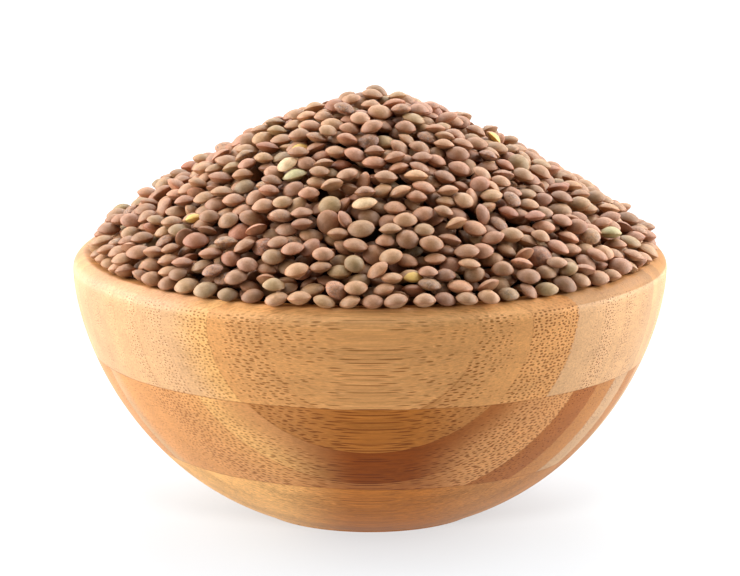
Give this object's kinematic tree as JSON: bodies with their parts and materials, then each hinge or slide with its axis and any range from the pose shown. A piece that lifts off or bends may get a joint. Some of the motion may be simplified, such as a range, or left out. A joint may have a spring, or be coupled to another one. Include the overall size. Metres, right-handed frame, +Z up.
{
  "type": "bowl of dry lentils",
  "caption": "Turned bamboo bowl heaped above its rim with dry brown lentils, standing on a small flat foot.",
  "frame": {"origin": "centre of the flat underside of the bowl's foot", "axes": "+Z up through the middle of the bowl, -Y towards the viewer, the bamboo's fibres along X"},
  "size_m": [0.124, 0.124, 0.0902],
  "materials": {
    "bamboo": "laminated bamboo in honey and caramel strips, turned, sanded and thinly oiled, satin",
    "lentil": "dry seed coats, matt with a faint sheen, tan, pink-brown, olive and orange-brown, some mottled"
  },
  "bodies": {
    "root": {"bowl": "bamboo", "lentils": "lentil"}
  },
  "joints": []
}
